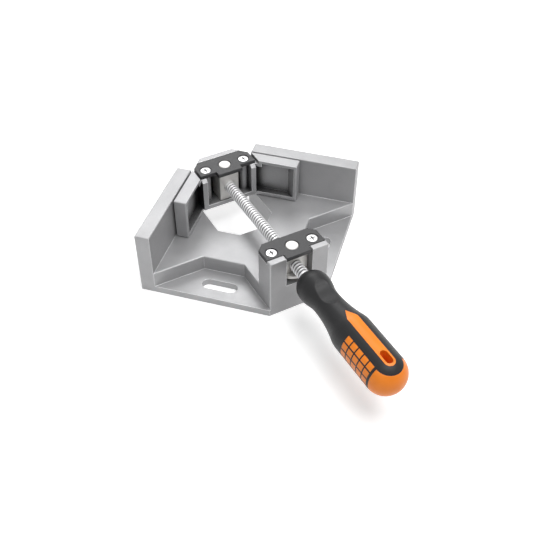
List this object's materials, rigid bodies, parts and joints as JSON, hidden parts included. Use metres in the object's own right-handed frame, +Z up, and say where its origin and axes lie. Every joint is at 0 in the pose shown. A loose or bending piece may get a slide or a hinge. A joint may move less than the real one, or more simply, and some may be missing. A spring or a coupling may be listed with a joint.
{
  "type": "corner clamp",
  "caption": "Right-angle clamp: two fences on a cast base, a V-shaped jaw on a lead screw with a swivelling nut, and a two-tone screwdriver-style handle.",
  "frame": {"origin": "on the axis of the front pivot, at the underside of the base", "axes": "+Y along the lead screw from the handle to the corner of the two fences, +Z up, +X to the right seen from the handle"},
  "size_m": [0.21, 0.2833, 0.0574],
  "materials": {
    "cast_body": "fine satin silver-grey finish on a light alloy casting",
    "cast_jaw": "fine satin silver-grey finish on a light alloy casting",
    "black_plate": "black satin coating",
    "screw_steel": "bright zinc plating",
    "zinc": "pale zinc, machined",
    "spindle_steel": "bright plated steel, rolled thread",
    "orange_plastic": "hard orange plastic, semi-gloss",
    "soft_grip": "soft dark grey moulded grip, satin"
  },
  "bodies": {
    "frame": {"base_casting": "cast_body", "front_cover_plate": "black_plate", "front_cover_screw_left": "screw_steel", "front_cover_screw_right": "screw_steel"},
    "nut": {"screw_nut": "zinc"},
    "block": {"swivel_block": "zinc"},
    "spindle": {"lead_screw": "spindle_steel", "thrust_washer": "screw_steel", "retaining_ring": "screw_steel", "handle_core": "orange_plastic", "handle_grip": "soft_grip"},
    "jaw": {"moving_jaw": "cast_jaw", "rear_cover_plate": "black_plate", "rear_cover_screw_left": "screw_steel", "rear_cover_screw_right": "screw_steel"}
  },
  "joints": [
    {"name": "nut_swivel", "type": "hinge", "parent": "frame", "child": "nut", "pos_m": [0, 0, 0], "axis": [0, 0, 1], "range_deg": [-0.5, 0.5]},
    {"name": "jaw_travel", "type": "slide", "parent": "nut", "child": "block", "axis": [0, -1, 0], "range_m": [-0.00038, 0.093]},
    {"name": "screw_turn", "type": "hinge", "parent": "block", "child": "spindle", "pos_m": [0, 0, 0.0392], "axis": [0, -1, 0], "range_deg": [-45, 11160]},
    {"name": "jaw_swivel", "type": "hinge", "parent": "block", "child": "jaw", "pos_m": [0, 0.1184, 0], "axis": [0, 0, 1], "range_deg": [-0.5, 0.5]}
  ],
  "couplings": [
    {"joint": "screw_turn", "follows": "jaw_travel", "rad_per_m": 2094.4}
  ]
}
